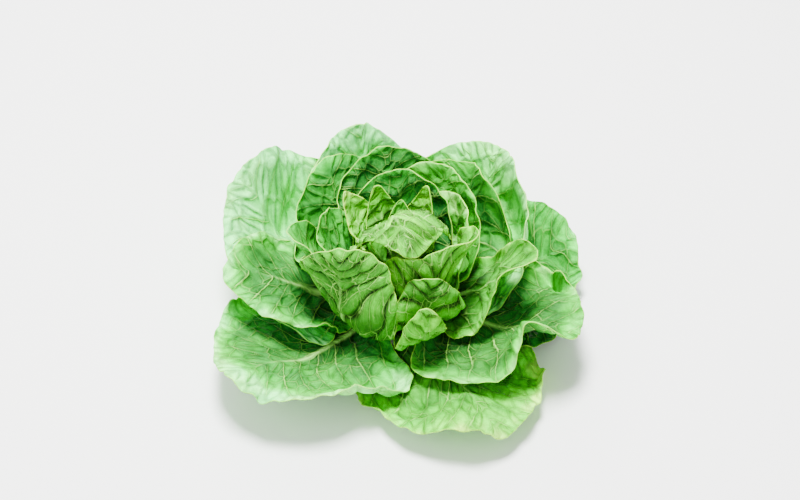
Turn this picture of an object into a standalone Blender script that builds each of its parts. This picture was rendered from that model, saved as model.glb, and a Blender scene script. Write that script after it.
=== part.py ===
"""An open head of lettuce, cut from its root and standing on the cut face of its stem.

The head is a short stem with broad leaves round it. Each leaf is a thin blade of its own, with
a thicker midrib on its outer side. Leaves nest like cups: every leaf lies near one layer of a
family of cup profiles, from layer 0 at the heart to layer 1 on the surface below. Leaves are
laid out from the heart outwards, and each is bent clear of the ones inside it.

Units are metres, +Z is up, and the origin is the centre of the cut face. Azimuths are degrees
anticlockwise from +X, seen from above, and the head's best side faces -Y.
"""

import math
from dataclasses import dataclass

import bmesh
import bpy
import numpy as np

MM = 0.001

# The stem: a short cone, cut flat below, that the leaves grow from
STEM_HEIGHT = 60 * MM
STEM_CUT_RADIUS = 15 * MM
STEM_WIDEST_RADIUS = 18 * MM
STEM_WIDEST_HEIGHT = 7 * MM
STEM_TIP_RADIUS = 4 * MM
STEM_CHAMFER = 1.2 * MM
STEM_SIDES = 40

# Where leaves leave the stem: those of layer 0 near its tip, those of layer 1 near the cut
HIGHEST_FOOT = 56 * MM
LOWEST_FOOT = 10 * MM
FOOT_GAP = 1.2 * MM
FOOT_WRAP = math.radians(33)

# The cup profiles: a layer, and its pitch above the horizontal at each distance from the foot.
# At the back the cups lean out, and at the front they bulge low down and then stand upright.
PITCH_STATIONS = np.array((0, 30, 60, 100, 150)) * MM
PITCH_BLEND = 24 * MM
BACK_PROFILES = (
    (0.00, 62, 78, 91, 103, 112),
    (0.15, 52, 62, 72, 83, 96),
    (0.30, 47, 55, 62, 72, 82),
    (0.50, 42, 50, 55, 56, 50),
    (0.70, 38, 39, 38, 31, 16),
    (0.85, 30, 26, 20, 10, -6),
    (1.00, 18, 10, 3, -5, -14),
    (1.15, 8, -1, -8, -13, -14),
    (1.30, 0, -7, -12, -15, -14),
)
FRONT = math.radians(264)
FRONT_PROFILES = (
    (0.00, 50, 98, 108, 112, 112),
    (0.15, 28, 84, 102, 106, 106),
    (0.30, 2, 62, 100, 104, 104),
    (0.45, -4, 24, 92, 102, 102),
    (0.60, 2, 10, 74, 98, 98),
    (0.70, 5, 9, 44, 84, 84),
    (0.80, 8, 11, 15, 12, 0),
    (1.00, 12, 9, 3, -6, -12),
    (1.15, 8, 2, -6, -13, -14),
    (1.30, 0, -7, -12, -15, -14),
)

# The blade of a leaf
BLADE_THICKNESS = 0.9 * MM
RIB_THICKNESS = 2.3 * MM
RIB_HALF_WIDTH = 4.5 * MM
RIB_FADE = 0.75

# Packing: what each leaf keeps to the leaves inside it, near the stem and further out
FOOT_LEAF_GAP = 0.9 * MM
BLADE_LEAF_GAP = 2.8 * MM
GROUND_GAP = 1.2 * MM


@dataclass
class Leaf:
    """One leaf. Lengths are in millimetres, and a pair gives its clockwise and anticlockwise side.

    layer is the cup profile that it lies near. droop brings its tip outwards and down, lift
    brings its margins inwards and up, and roll brings its anticlockwise margin up and the
    other one down. sweep swings the tip sideways, in degrees. wave is the height of its waves.
    bow is the share of its length by which the sides end short of the tip, and point sharpens
    the tip from a round end at 0 to a corner at 1. slant is the share of its length by which the
    clockwise side ends shorter and the other side longer.
    """

    name: str
    azimuth: float
    layer: float
    length: float
    half_width: float
    droop: float = 0
    lift: tuple = (0, 0)
    roll: float = 0
    sweep: float = 0
    wave: float = 4
    waves: float = 6
    phase: float = 0
    bow: float = 0.2
    point: float = 0
    slant: float = 0
    rows: int = 12
    columns: int = 11


LEAVES = [
    Leaf("heart_cap", 113, 0, 124, 52, wave=7, waves=5, phase=0.4, rows=15, columns=15),
    Leaf("heart_roll", 92, 0.06, 60, 16, wave=1, rows=8, columns=7, bow=0.4, point=0.6),
    Leaf("heart_left", 204, 0.15, 48, 28, droop=-2, wave=2, rows=9, columns=9),
    Leaf("heart_peak_right", 56, 0.12, 82, 22, wave=2, rows=9, columns=8, bow=0.5, point=0.9),
    Leaf("heart_peak_left", 120, 0.13, 80, 21, wave=2, rows=9, columns=8, bow=0.5, point=0.9),
    Leaf("heart_spike", 150, 0.19, 88, 28, wave=4, rows=10, columns=9, bow=0.5, point=0.7),
    Leaf("heart_front", 240, 0.30, 77, 40, wave=3, rows=11, columns=10),
    Leaf("heart_wrap", 294, 0.37, 104, 54, sweep=16, wave=6, waves=5, phase=1, rows=12, columns=13),
    Leaf("heart_back", 92, 0.23, 87, 50, wave=5, rows=10, columns=11),
    Leaf("heart_right", 34, 0.27, 83, 42, wave=5, rows=10, columns=10),
    Leaf("inner_left", 184, 0.46, 96, 46, wave=5, rows=11, columns=11),
    Leaf("inner_back_right", 60, 0.35, 100, 48, wave=5, rows=11, columns=11),
    Leaf("inner_back", 98, 0.43, 110, 52, wave=5, rows=12, columns=12),
    Leaf("inner_left_spoon", 192, 0.60, 122, 32, lift=(7, 7), wave=2, rows=11, columns=9),
    Leaf("inner_front_wrap", 284, 0.46, 100, 42, sweep=12, wave=4, bow=0.42, point=0.4, rows=12, columns=12),
    Leaf(
        "inner_front_left", 225, 0.58, 150, 50, lift=(-7, 5),
        wave=7, waves=5, phase=0.6, bow=0.3, slant=0.14, rows=14, columns=14,
    ),
    Leaf("inner_right", 341, 0.66, 127, 33, lift=(-7, 0), roll=5, wave=5, slant=0.06, rows=12, columns=12),
    Leaf("middle_back_right", 52, 0.44, 112, 56, wave=5, rows=12, columns=12),
    Leaf("middle_back_left", 130, 0.52, 117, 54, wave=5, rows=12, columns=12),
    Leaf("inner_front", 284, 0.64, 109, 21, lift=(2, 2), wave=2, bow=0.3, rows=12, columns=10),
    Leaf("middle_left", 186, 0.78, 142, 46, wave=7, rows=13, columns=12),
    Leaf("outer_back_right", 48, 0.58, 136, 72, wave=6, rows=13, columns=13),
    Leaf("outer_back", 106, 0.61, 139, 58, wave=6, rows=13, columns=12),
    Leaf("outer_left", 151, 0.70, 160, 84, wave=8, rows=13, columns=14),
    Leaf(
        "middle_right", 333, 0.79, 150, 78, lift=(-4, 0),
        wave=26, waves=5.5, phase=0.3, rows=14, columns=17,
    ),
    Leaf(
        "outer_front_left", 219, 0.80, 168, 88, lift=(12, 11),
        wave=4.5, phase=4.6, bow=0.22, rows=14, columns=15,
    ),
    Leaf("outer_right", 18, 0.82, 142, 66, wave=7, rows=13, columns=12),
    Leaf("low_right", 349, 0.92, 118, 37, wave=3, rows=11, columns=10),
    Leaf("outer_front", 297, 0.89, 154, 84, wave=8, rows=14, columns=15),
    Leaf("low_back", 80, 0.84, 124, 44, wave=4, rows=11, columns=11),
]

# The heart's cap: it rises behind the others and folds over them towards the front
CAP_FOOT = (5.6 * MM, 58 * MM)
CAP_PITCH = (78, 88, 160, 236)
CAP_CUP = 62
CAP_NECK = 0.42
CAP_SHIFT = 9 * MM
# It has two lobes with a crease between them, and the lobe on this side is this much shorter
CAP_CREASE = 5 * MM
CAP_TURN = 1
CAP_SHORT = 0.16


def smooth_step(x):
    x = np.clip(x, 0, 1)
    return x * x * (3 - 2 * x)


def stem_radius(height):
    """The stem's radius at a height above the cut."""
    rise = (height - STEM_WIDEST_HEIGHT) / (STEM_HEIGHT - STEM_WIDEST_HEIGHT)
    return STEM_WIDEST_RADIUS + (STEM_TIP_RADIUS - STEM_WIDEST_RADIUS) * np.clip(rise, 0, 1)


class Cups:
    """The two families of cup profiles, back and front, and the blend of them at each azimuth.

    Each is a table of radius and height over layer and length from the foot.
    """

    LAYERS = np.linspace(0, 1.3, 131)
    LENGTHS = np.linspace(0, 180 * MM, 121)

    def __init__(self):
        tables = [self.tables(np.array(profiles)) for profiles in (BACK_PROFILES, FRONT_PROFILES)]
        self.radius, self.height, self.spread = zip(*tables)

    def tables(self, known):
        rows = [np.interp(self.LAYERS, known[:, 0], known[:, k]) for k in range(1, known.shape[1])]
        pitch = np.radians([np.interp(self.LENGTHS, PITCH_STATIONS, row) for row in zip(*rows)])
        # The corners between the stations are rounded off
        size = round(PITCH_BLEND / self.LENGTHS[1])
        padded = np.pad(pitch, ((0, 0), (size // 2, size - 1 - size // 2)), mode="edge")
        pitch = np.mean([padded[:, k : k + pitch.shape[1]] for k in range(size)], axis=0)
        step = self.LENGTHS[1]
        between = (pitch[:, 1:] + pitch[:, :-1]) / 2
        foot = HIGHEST_FOOT + (LOWEST_FOOT - HIGHEST_FOOT) * self.LAYERS
        start = np.zeros((len(self.LAYERS), 1))
        run = np.concatenate([start, np.cumsum(np.cos(between), 1) * step], 1)
        rise = np.concatenate([start, np.cumsum(np.sin(between), 1) * step], 1)
        radius = (stem_radius(foot) + FOOT_GAP)[:, None] + run
        height = foot[:, None] + rise
        spread = np.hypot(
            np.gradient(radius, self.LAYERS, axis=0), np.gradient(height, self.LAYERS, axis=0)
        )
        return radius, height, spread

    def read(self, pair, turn, layer, length):
        """A pair of tables' value at any azimuth, layer and length, by straight interpolation."""
        i = np.clip(layer / self.LAYERS[1], 0, len(self.LAYERS) - 1.001)
        j = np.clip(length / self.LENGTHS[1], 0, len(self.LENGTHS) - 1.001)
        i0, j0 = i.astype(int), j.astype(int)
        di, dj = i - i0, j - j0
        back, front = (
            table[i0, j0] * (1 - di) * (1 - dj)
            + table[i0 + 1, j0] * di * (1 - dj)
            + table[i0, j0 + 1] * (1 - di) * dj
            + table[i0 + 1, j0 + 1] * di * dj
            for table in pair
        )
        share = smooth_step(np.cos(turn - FRONT) / 0.75)
        return back * (1 - share) + front * share

    def place(self, turn, length, layer):
        """Points in space at these azimuths, lengths from the foot and layers."""
        radius = self.read(self.radius, turn, layer, length)
        height = self.read(self.height, turn, layer, length)
        # Near the surface below, heights level out instead of passing through it
        low = GROUND_GAP + BLADE_THICKNESS
        height = low + MM * np.logaddexp(0, (height - low) / MM)
        return np.stack([radius * np.cos(turn), radius * np.sin(turn), height], axis=-1)


CUPS = Cups()


def half_widths(leaf, t):
    """Half the blade's width at each share t of its length: a narrow foot and a broad round top."""
    foot = CUPS.read(CUPS.radius, 0, np.array([leaf.layer]), np.zeros(1))[0] * FOOT_WRAP
    full = leaf.half_width * MM
    narrow = 1 - 0.18 * smooth_step((t - 0.66) / 0.34)
    return (foot + (full - foot) * smooth_step(t / 0.52)) * narrow


def leaf_layout(leaf, rows, columns):
    """The azimuth, length and layer of each of a leaf's points before packing, from foot to tip."""
    s = np.linspace(-1, 1, columns)[None]
    t = np.linspace(0, 1, rows)[:, None]
    across = s * half_widths(leaf, t)
    share = t - (leaf.bow * np.abs(s) ** (2 - leaf.point) - leaf.slant * s) * t**2
    length = leaf.length * MM * share
    middle = np.full(length.shape, leaf.layer)
    straight = np.full(length.shape, math.radians(leaf.azimuth))
    radius = np.maximum(CUPS.read(CUPS.radius, straight, middle, length), 9 * MM)
    turn = straight + math.radians(leaf.sweep) * share**2 + across / radius
    # Waves fan out from the lower midrib and grow towards the margin
    margin = np.maximum(np.abs(s) ** 1.6, smooth_step((t - 0.5) / 0.5)) * smooth_step(t / 0.6)
    fan = np.arctan2(across, leaf.length * MM * (share - 0.2))
    wave = np.sin(leaf.waves * fan + leaf.phase)
    wave = wave + 0.45 * np.sin(1.9 * leaf.waves * fan + 2.3 * leaf.phase + 1)
    lift = np.where(s < 0, leaf.lift[0], leaf.lift[1])
    outward = (
        leaf.droop * share**2
        - lift * s**2 * smooth_step(t / 0.6)
        - leaf.roll * s * smooth_step(t / 0.6)
        + leaf.wave * margin**1.4 * wave
    ) * MM
    layer = middle + outward / CUPS.read(CUPS.spread, turn, middle, length)
    return turn, length, layer


def cap_cage(leaf):
    """The points of the leaf that folds over the heart, in its own upright plane."""
    t = np.linspace(0, 1, leaf.rows)
    s = np.linspace(-1, 1, leaf.columns)
    fine = np.linspace(0, 1, 201)
    pitch = np.radians(np.interp(fine, np.linspace(0, 1, len(CAP_PITCH)), CAP_PITCH))
    pitch = np.convolve(np.pad(pitch, 15, mode="edge"), np.ones(31) / 31, mode="valid")
    step = leaf.length * MM / 200
    run = CAP_FOOT[0] + np.cumsum(np.cos(pitch)) * step
    rise = CAP_FOOT[1] + np.cumsum(np.sin(pitch)) * step
    azimuth = math.radians(leaf.azimuth)
    forward = np.array([math.cos(azimuth), math.sin(azimuth), 0])
    side = np.array([-math.sin(azimuth), math.cos(azimuth), 0])
    up = np.array([0, 0, 1])
    cage = np.zeros((leaf.rows, leaf.columns, 3))
    for row, share in enumerate(t):
        neck = smooth_step((share - 0.2) / CAP_NECK)
        half = (6 + (leaf.half_width - 6) * neck) * (1 - 0.2 * smooth_step((share - 0.7) / 0.3)) * MM
        for column, across in enumerate(s):
            short = CAP_SHORT * smooth_step(CAP_TURN * across)
            at = share * (1 - short) - leaf.bow * across**2 * share**3
            radius, height, angle = (np.interp(at, fine, values) for values in (run, rise, pitch))
            bend = math.radians(CAP_CUP) * abs(across) * neck
            reach = abs(across) * half * (1 - bend**2 / 6)
            sink = abs(across) * half * bend / 2
            margin = max(abs(across) ** 1.6, smooth_step((share - 0.6) / 0.4)) * neck
            wave = leaf.wave * MM * margin * math.sin(leaf.waves * (across + 2 * at) + leaf.phase)
            crease = CAP_CREASE * neck * math.exp(-(((across - 0.15 * CAP_TURN) / 0.2) ** 2))
            inward = -forward * math.sin(angle) + up * math.cos(angle)
            cage[row, column] = (
                forward * radius
                + up * height
                + side * (math.copysign(reach, across) + CAP_SHIFT * neck)
                + inward * (sink + wave + crease)
            )
    return cage


def rib(leaf, rows, columns):
    """The blade's thickness at each point: a rib that runs out towards the tip, on a thin blade."""
    s = np.linspace(-1, 1, columns)[None]
    t = np.linspace(0, 1, rows)[:, None]
    across = s * half_widths(leaf, t)
    size = (0.25 + 0.75 * leaf.layer) * (RIB_THICKNESS - BLADE_THICKNESS)
    fade = np.clip(1 - t / RIB_FADE, 0, 1)
    return BLADE_THICKNESS + size * fade * np.exp(-((across / RIB_HALF_WIDTH) ** 2))


def refined(grid, times):
    """A grid with each cell split, by straight interpolation."""
    for axis in (0, 1):
        n = grid.shape[axis]
        at = np.linspace(0, n - 1, (n - 1) * times + 1)
        low = np.minimum(at.astype(int), n - 2)
        part = (at - low).reshape([-1 if a == axis else 1 for a in range(grid.ndim)])
        grid = np.take(grid, low, axis) * (1 - part) + np.take(grid, low + 1, axis) * part
    return grid


def window(field, size, reduce):
    """Each value of a field replaced by a reduction of the square of values round it."""
    padded = np.pad(field, size, mode="edge")
    rows, columns = field.shape
    span = range(2 * size + 1)
    return reduce([padded[i : i + rows, j : j + columns] for i in span for j in span], axis=0)


class Packing:
    """The outermost layer reached so far in each direction, and the bending of a leaf outside it."""

    TURNS = 240
    LENGTH_STEP = 3 * MM
    FINER = 5

    def __init__(self):
        self.reached = np.full((self.TURNS, 61), -1.0)

    def cells(self, turn, length):
        i = np.floor(turn / (2 * math.pi) * self.TURNS).astype(int) % self.TURNS
        j = np.clip((length / self.LENGTH_STEP).astype(int), 0, self.reached.shape[1] - 1)
        return i, j

    def gap(self, length):
        return FOOT_LEAF_GAP + (BLADE_LEAF_GAP - FOOT_LEAF_GAP) * smooth_step(length / (45 * MM))

    def bend_clear(self, leaf, turn, length, layer):
        """The leaf's layers, moved outwards wherever a leaf inside it is in the way."""
        rows, columns = layer.shape
        wrapped = np.concatenate([self.reached[-1:], self.reached, self.reached[:1]])
        widened = window(wrapped, 1, np.max)[1:-1]
        fine_length = refined(length, self.FINER)
        inner = widened[self.cells(refined(turn, self.FINER), fine_length)]
        fine_turn = refined(turn, self.FINER)
        spread = CUPS.read(CUPS.spread, fine_turn, np.clip(inner, 0, 1.2), fine_length)
        push = np.maximum(inner + self.gap(fine_length) / spread - refined(layer, self.FINER), 0)
        push = window(push, self.FINER, np.max)[:: self.FINER, :: self.FINER]
        for _ in range(4):
            push = np.maximum(push, window(push, 1, np.mean))
        return layer + push

    def add(self, leaf, turn, length, layer):
        """Records how far out the leaf's outer face now reaches."""
        spread = CUPS.read(CUPS.spread, turn, np.clip(layer, 0, 1.2), length)
        radius = CUPS.read(CUPS.radius, turn, np.clip(layer, 0, 1.2), length)
        # A blade that crosses the layers at a slant takes up more of them than its thickness
        sideways = np.gradient(layer, axis=1) * spread / (np.gradient(turn, axis=1) * radius)
        lengthways = np.gradient(layer, axis=0) * spread / np.gradient(length, axis=0)
        slant = np.sqrt(1 + np.clip(sideways, -2, 2) ** 2 + np.clip(lengthways, -2, 2) ** 2)
        outer = layer + slant * rib(leaf, *layer.shape) / spread
        at = self.cells(refined(turn, self.FINER), refined(length, self.FINER))
        np.maximum.at(self.reached, at, refined(outer, self.FINER))


def packed_leaves():
    """Every leaf's points, from the heart outwards, each bent clear of those before it."""
    packing = Packing()
    cages = []
    for leaf in LEAVES:
        if leaf.name == "heart_cap":
            cages.append(cap_cage(leaf))
            continue
        turn, length, layer = leaf_layout(leaf, leaf.rows, leaf.columns)
        layer = packing.bend_clear(leaf, turn, length, layer)
        packing.add(leaf, turn, length, layer)
        cages.append(CUPS.place(turn, length, layer))
    return cages


def outward_normals(cage):
    """Unit normals of a leaf on its outer side, the one away from the heart."""
    normals = np.cross(np.gradient(cage, axis=0), np.gradient(cage, axis=1))
    return normals / np.maximum(np.linalg.norm(normals, axis=-1, keepdims=True), 1e-12)


def plain_material(name, colour, roughness):
    material = bpy.data.materials.new(name)
    material.use_nodes = True
    shader = material.node_tree.nodes["Principled BSDF"]
    shader.inputs["Base Color"].default_value = (*colour, 1)
    shader.inputs["Roughness"].default_value = roughness
    return material


def leaf_object(leaf, cage, material):
    """A grid laid over the leaf's points, split into triangles and thickened on its outer side."""
    rows, columns = cage.shape[:2]
    mesh = bpy.data.meshes.new("leaf_" + leaf.name)
    bm = bmesh.new()
    bmesh.ops.create_grid(bm, x_segments=columns - 1, y_segments=rows - 1, size=1)
    thickness = rib(leaf, rows, columns)
    weights = []
    for vertex in bm.verts:
        column = round((vertex.co.x + 1) / 2 * (columns - 1))
        row = round((vertex.co.y + 1) / 2 * (rows - 1))
        vertex.co = cage[row, column]
        weights.append(float(thickness[row, column] / RIB_THICKNESS))
    bmesh.ops.triangulate(bm, faces=bm.faces[:], quad_method="SHORT_EDGE")
    bm.to_mesh(mesh)
    bm.free()
    mesh.materials.append(material)
    obj = bpy.data.objects.new("leaf_" + leaf.name, mesh)
    group = obj.vertex_groups.new(name="thickness")
    for index, weight in enumerate(weights):
        group.add([index], weight, "REPLACE")
    solid = obj.modifiers.new("blade", "SOLIDIFY")
    solid.thickness = RIB_THICKNESS
    solid.vertex_group = group.name
    solid.offset = 1
    return obj


def stem_object(material):
    """The cut stem, as a turned profile, outer side from top to bottom."""
    mesh = bpy.data.meshes.new("stem")
    bm = bmesh.new()
    profile = [
        (0, STEM_HEIGHT + 1 * MM),
        (STEM_TIP_RADIUS * 0.6, STEM_HEIGHT + 0.5 * MM),
        (STEM_TIP_RADIUS, STEM_HEIGHT - 1 * MM),
        (stem_radius(30 * MM), 30 * MM),
        (stem_radius(18 * MM), 18 * MM),
        (STEM_WIDEST_RADIUS, STEM_WIDEST_HEIGHT),
        (STEM_CUT_RADIUS + STEM_CHAMFER, STEM_CHAMFER * 1.5),
        (STEM_CUT_RADIUS, 0),
        (0, 0),
    ]
    points = [bm.verts.new((radius, 0, height)) for radius, height in profile]
    for first, second in zip(points, points[1:]):
        bm.edges.new((first, second))
    bm.to_mesh(mesh)
    bm.free()
    mesh.materials.append(material)
    obj = bpy.data.objects.new("stem", mesh)
    turn = obj.modifiers.new("turn", "SCREW")
    turn.steps = turn.render_steps = STEM_SIDES
    turn.use_merge_vertices = True
    turn.merge_threshold = 0.00001
    turn.use_smooth_shade = True
    return obj


def main():
    for obj in list(bpy.data.objects):
        bpy.data.objects.remove(obj)
    head = bpy.data.collections.new("lettuce_head")
    bpy.context.scene.collection.children.link(head)
    stem = plain_material("cut_stem", (0.72, 0.74, 0.52), 0.6)
    head.objects.link(stem_object(stem))
    heart = np.array([0.50, 0.62, 0.16])
    outer = np.array([0.12, 0.36, 0.07])
    for leaf, cage in zip(LEAVES, packed_leaves()):
        colour = plain_material(leaf.name, heart + (outer - heart) * leaf.layer**0.6, 0.5)
        head.objects.link(leaf_object(leaf, cage, colour))


if __name__ == "__main__":
    main()
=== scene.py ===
"""The looks of an open head of lettuce: fine leaves and veins, the cut stem, light and camera.

Each fine leaf repeats the rule that lays out the plain one, and then adds what a leaf shows up
close: blisters between its veins, a frilled and notched margin, a grooved midrib. Units are
metres, +Z is up, and the head stands on the centre of its cut stem. Azimuths are degrees
anticlockwise from +X, seen from above.
"""

import math
from dataclasses import dataclass

import bmesh
import bpy
import numpy as np
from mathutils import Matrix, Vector


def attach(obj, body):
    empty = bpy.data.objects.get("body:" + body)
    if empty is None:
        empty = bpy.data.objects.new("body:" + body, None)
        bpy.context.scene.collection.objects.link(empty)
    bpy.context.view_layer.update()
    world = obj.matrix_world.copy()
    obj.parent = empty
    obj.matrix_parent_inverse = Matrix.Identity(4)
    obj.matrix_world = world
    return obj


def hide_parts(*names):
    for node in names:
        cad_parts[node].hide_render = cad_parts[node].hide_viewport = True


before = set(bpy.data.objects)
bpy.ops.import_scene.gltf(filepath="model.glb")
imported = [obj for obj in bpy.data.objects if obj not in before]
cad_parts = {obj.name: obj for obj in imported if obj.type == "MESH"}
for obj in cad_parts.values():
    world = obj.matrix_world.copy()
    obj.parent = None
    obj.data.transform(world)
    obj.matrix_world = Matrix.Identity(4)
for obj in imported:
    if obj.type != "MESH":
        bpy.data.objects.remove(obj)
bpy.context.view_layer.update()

MM = 0.001

# The stem: a short cone, cut flat below, that the leaves grow from
STEM_HEIGHT = 60 * MM
STEM_WIDEST_RADIUS = 18 * MM
STEM_WIDEST_HEIGHT = 7 * MM
STEM_TIP_RADIUS = 4 * MM

# Where leaves leave the stem: those of layer 0 near its tip, those of layer 1 near the cut
HIGHEST_FOOT = 56 * MM
LOWEST_FOOT = 10 * MM
FOOT_GAP = 1.2 * MM
FOOT_WRAP = math.radians(33)

# The cup profiles: a layer, and its pitch above the horizontal at each distance from the foot.
# At the back the cups lean out, and at the front they bulge low down and then stand upright.
PITCH_STATIONS = np.array((0, 30, 60, 100, 150)) * MM
PITCH_BLEND = 24 * MM
BACK_PROFILES = (
    (0.00, 62, 78, 91, 103, 112),
    (0.15, 52, 62, 72, 83, 96),
    (0.30, 47, 55, 62, 72, 82),
    (0.50, 42, 50, 55, 56, 50),
    (0.70, 38, 39, 38, 31, 16),
    (0.85, 30, 26, 20, 10, -6),
    (1.00, 18, 10, 3, -5, -14),
    (1.15, 8, -1, -8, -13, -14),
    (1.30, 0, -7, -12, -15, -14),
)
FRONT = math.radians(264)
# The cosine of the angle off the front from which the front cups are whole
FRONT_WHOLE = 0.75
FRONT_PROFILES = (
    (0.00, 50, 98, 108, 112, 112),
    (0.15, 28, 84, 102, 106, 106),
    (0.30, 2, 62, 100, 104, 104),
    (0.45, -4, 24, 92, 102, 102),
    (0.60, 2, 10, 74, 98, 98),
    (0.70, 5, 9, 44, 84, 84),
    (0.80, 8, 11, 15, 12, 0),
    (1.00, 12, 9, 3, -6, -12),
    (1.15, 8, 2, -6, -13, -14),
    (1.30, 0, -7, -12, -15, -14),
)

# The blade of a leaf, and its rib, which runs out at this share of its length
BLADE_THICKNESS = 0.9 * MM
RIB_THICKNESS = 2.3 * MM
RIB_HALF_WIDTH = 4.5 * MM
RIB_FADE = 0.75

# Its outline: the share of its length where it is at its full width, and how much it narrows
# again, and from which share on, over which one
FULL_WIDTH_AT = 0.52
NARROWING = 0.18
NARROWS_FROM = 0.66
NARROWS_OVER = 0.34

# Lifts, rolls and waves come in over this first share of the length
SHAPED_OVER = 0.6
# Each wave has a second, quicker one in it, so that no two are alike
SECOND_WAVE = 0.45
SECOND_WAVE_RATE = 1.9
# A leaf nearer the axis than this wraps as if it were this far out
LEAST_WRAP_RADIUS = 9 * MM

# Packing: what each leaf keeps to the leaves inside it, near the stem and from this far out
FOOT_LEAF_GAP = 0.9 * MM
BLADE_LEAF_GAP = 2.8 * MM
BLADE_GAP_FROM = 45 * MM
# What it keeps to the floor
FLOOR_GAP = 1.2 * MM


@dataclass
class Leaf:
    """One leaf. Lengths are in millimetres, and a pair gives its clockwise and anticlockwise side.

    layer is the cup profile that it lies near. droop brings its tip outwards and down, lift
    brings its margins inwards and up, and roll brings its anticlockwise margin up and the
    other one down. sweep swings the tip sideways, in degrees. wave is the height of its waves.
    bow is the share of its length by which the sides end short of the tip, and point sharpens
    the tip from a round end at 0 to a corner at 1. slant is the share of its length by which the
    clockwise side ends shorter and the other side longer.
    """

    name: str
    azimuth: float
    layer: float
    length: float
    half_width: float
    droop: float = 0
    lift: tuple = (0, 0)
    roll: float = 0
    sweep: float = 0
    wave: float = 4
    waves: float = 6
    phase: float = 0
    bow: float = 0.2
    point: float = 0
    slant: float = 0
    rows: int = 12
    columns: int = 11


LEAVES = [
    Leaf("heart_cap", 113, 0, 124, 52, wave=7, waves=5, phase=0.4, rows=15, columns=15),
    Leaf("heart_roll", 92, 0.06, 60, 16, wave=1, rows=8, columns=7, bow=0.4, point=0.6),
    Leaf("heart_left", 204, 0.15, 48, 28, droop=-2, wave=2, rows=9, columns=9),
    Leaf("heart_peak_right", 56, 0.12, 82, 22, wave=2, rows=9, columns=8, bow=0.5, point=0.9),
    Leaf("heart_peak_left", 120, 0.13, 80, 21, wave=2, rows=9, columns=8, bow=0.5, point=0.9),
    Leaf("heart_spike", 150, 0.19, 88, 28, wave=4, rows=10, columns=9, bow=0.5, point=0.7),
    Leaf("heart_front", 240, 0.30, 77, 40, wave=3, rows=11, columns=10),
    Leaf("heart_wrap", 294, 0.37, 104, 54, sweep=16, wave=6, waves=5, phase=1, rows=12, columns=13),
    Leaf("heart_back", 92, 0.23, 87, 50, wave=5, rows=10, columns=11),
    Leaf("heart_right", 34, 0.27, 83, 42, wave=5, rows=10, columns=10),
    Leaf("inner_left", 184, 0.46, 96, 46, wave=5, rows=11, columns=11),
    Leaf("inner_back_right", 60, 0.35, 100, 48, wave=5, rows=11, columns=11),
    Leaf("inner_back", 98, 0.43, 110, 52, wave=5, rows=12, columns=12),
    Leaf("inner_left_spoon", 192, 0.60, 122, 32, lift=(7, 7), wave=2, rows=11, columns=9),
    Leaf(
        "inner_front_wrap", 284, 0.46, 100, 42, sweep=12,
        wave=4, bow=0.42, point=0.4, rows=12, columns=12,
    ),
    Leaf(
        "inner_front_left", 225, 0.58, 150, 50, lift=(-7, 5),
        wave=7, waves=5, phase=0.6, bow=0.3, slant=0.14, rows=14, columns=14,
    ),
    Leaf(
        "inner_right", 341, 0.66, 127, 33, lift=(-7, 0), roll=5,
        wave=5, slant=0.06, rows=12, columns=12,
    ),
    Leaf("middle_back_right", 52, 0.44, 112, 56, wave=5, rows=12, columns=12),
    Leaf("middle_back_left", 130, 0.52, 117, 54, wave=5, rows=12, columns=12),
    Leaf("inner_front", 284, 0.64, 109, 21, lift=(2, 2), wave=2, bow=0.3, rows=12, columns=10),
    Leaf("middle_left", 186, 0.78, 142, 46, wave=7, rows=13, columns=12),
    Leaf("outer_back_right", 48, 0.58, 136, 72, wave=6, rows=13, columns=13),
    Leaf("outer_back", 106, 0.61, 139, 58, wave=6, rows=13, columns=12),
    Leaf("outer_left", 151, 0.70, 160, 84, wave=8, rows=13, columns=14),
    Leaf(
        "middle_right", 333, 0.79, 150, 78, lift=(-4, 0),
        wave=26, waves=5.5, phase=0.3, rows=14, columns=17,
    ),
    Leaf(
        "outer_front_left", 219, 0.80, 168, 88, lift=(12, 11),
        wave=4.5, phase=4.6, bow=0.22, rows=14, columns=15,
    ),
    Leaf("outer_right", 18, 0.82, 142, 66, wave=7, rows=13, columns=12),
    Leaf("low_right", 349, 0.92, 118, 37, wave=3, rows=11, columns=10),
    Leaf("outer_front", 297, 0.89, 154, 84, wave=8, rows=14, columns=15),
    Leaf("low_back", 80, 0.84, 124, 44, wave=4, rows=11, columns=11),
]

# The heart's cap: it rises behind the others and folds over them towards the front. Its pitch
# at equal steps along it, and how far each side is cupped, are in degrees.
CAP_FOOT = (5.6 * MM, 58 * MM)
CAP_PITCH = (78, 88, 160, 236)
CAP_CUP = 62
CAP_SHIFT = 9 * MM
# Its length is read at this many steps, and its pitch is evened out over this many of them
CAP_STEPS = 200
CAP_EVENED = 31
# It widens from its neck, this far each side, from one share of its length over another
CAP_NECK_HALF_WIDTH = 6
CAP_NECK_FROM = 0.2
CAP_NECK = 0.42
# It has two lobes with a crease between them, and the lobe on this side is this much shorter
CAP_CREASE = 5 * MM
CAP_CREASE_AT = 0.15
CAP_CREASE_WIDTH = 0.2
CAP_TURN = 1
CAP_SHORT = 0.16


def smooth_step(x):
    """From 0 to 1 as x goes from 0 to 1, with smooth ends, and level beyond them."""
    x = np.clip(x, 0, 1)
    return x * x * (3 - 2 * x)


def stem_radius(height):
    """The stem's radius at a height above the cut."""
    rise = (height - STEM_WIDEST_HEIGHT) / (STEM_HEIGHT - STEM_WIDEST_HEIGHT)
    return STEM_WIDEST_RADIUS + (STEM_TIP_RADIUS - STEM_WIDEST_RADIUS) * np.clip(rise, 0, 1)


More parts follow.
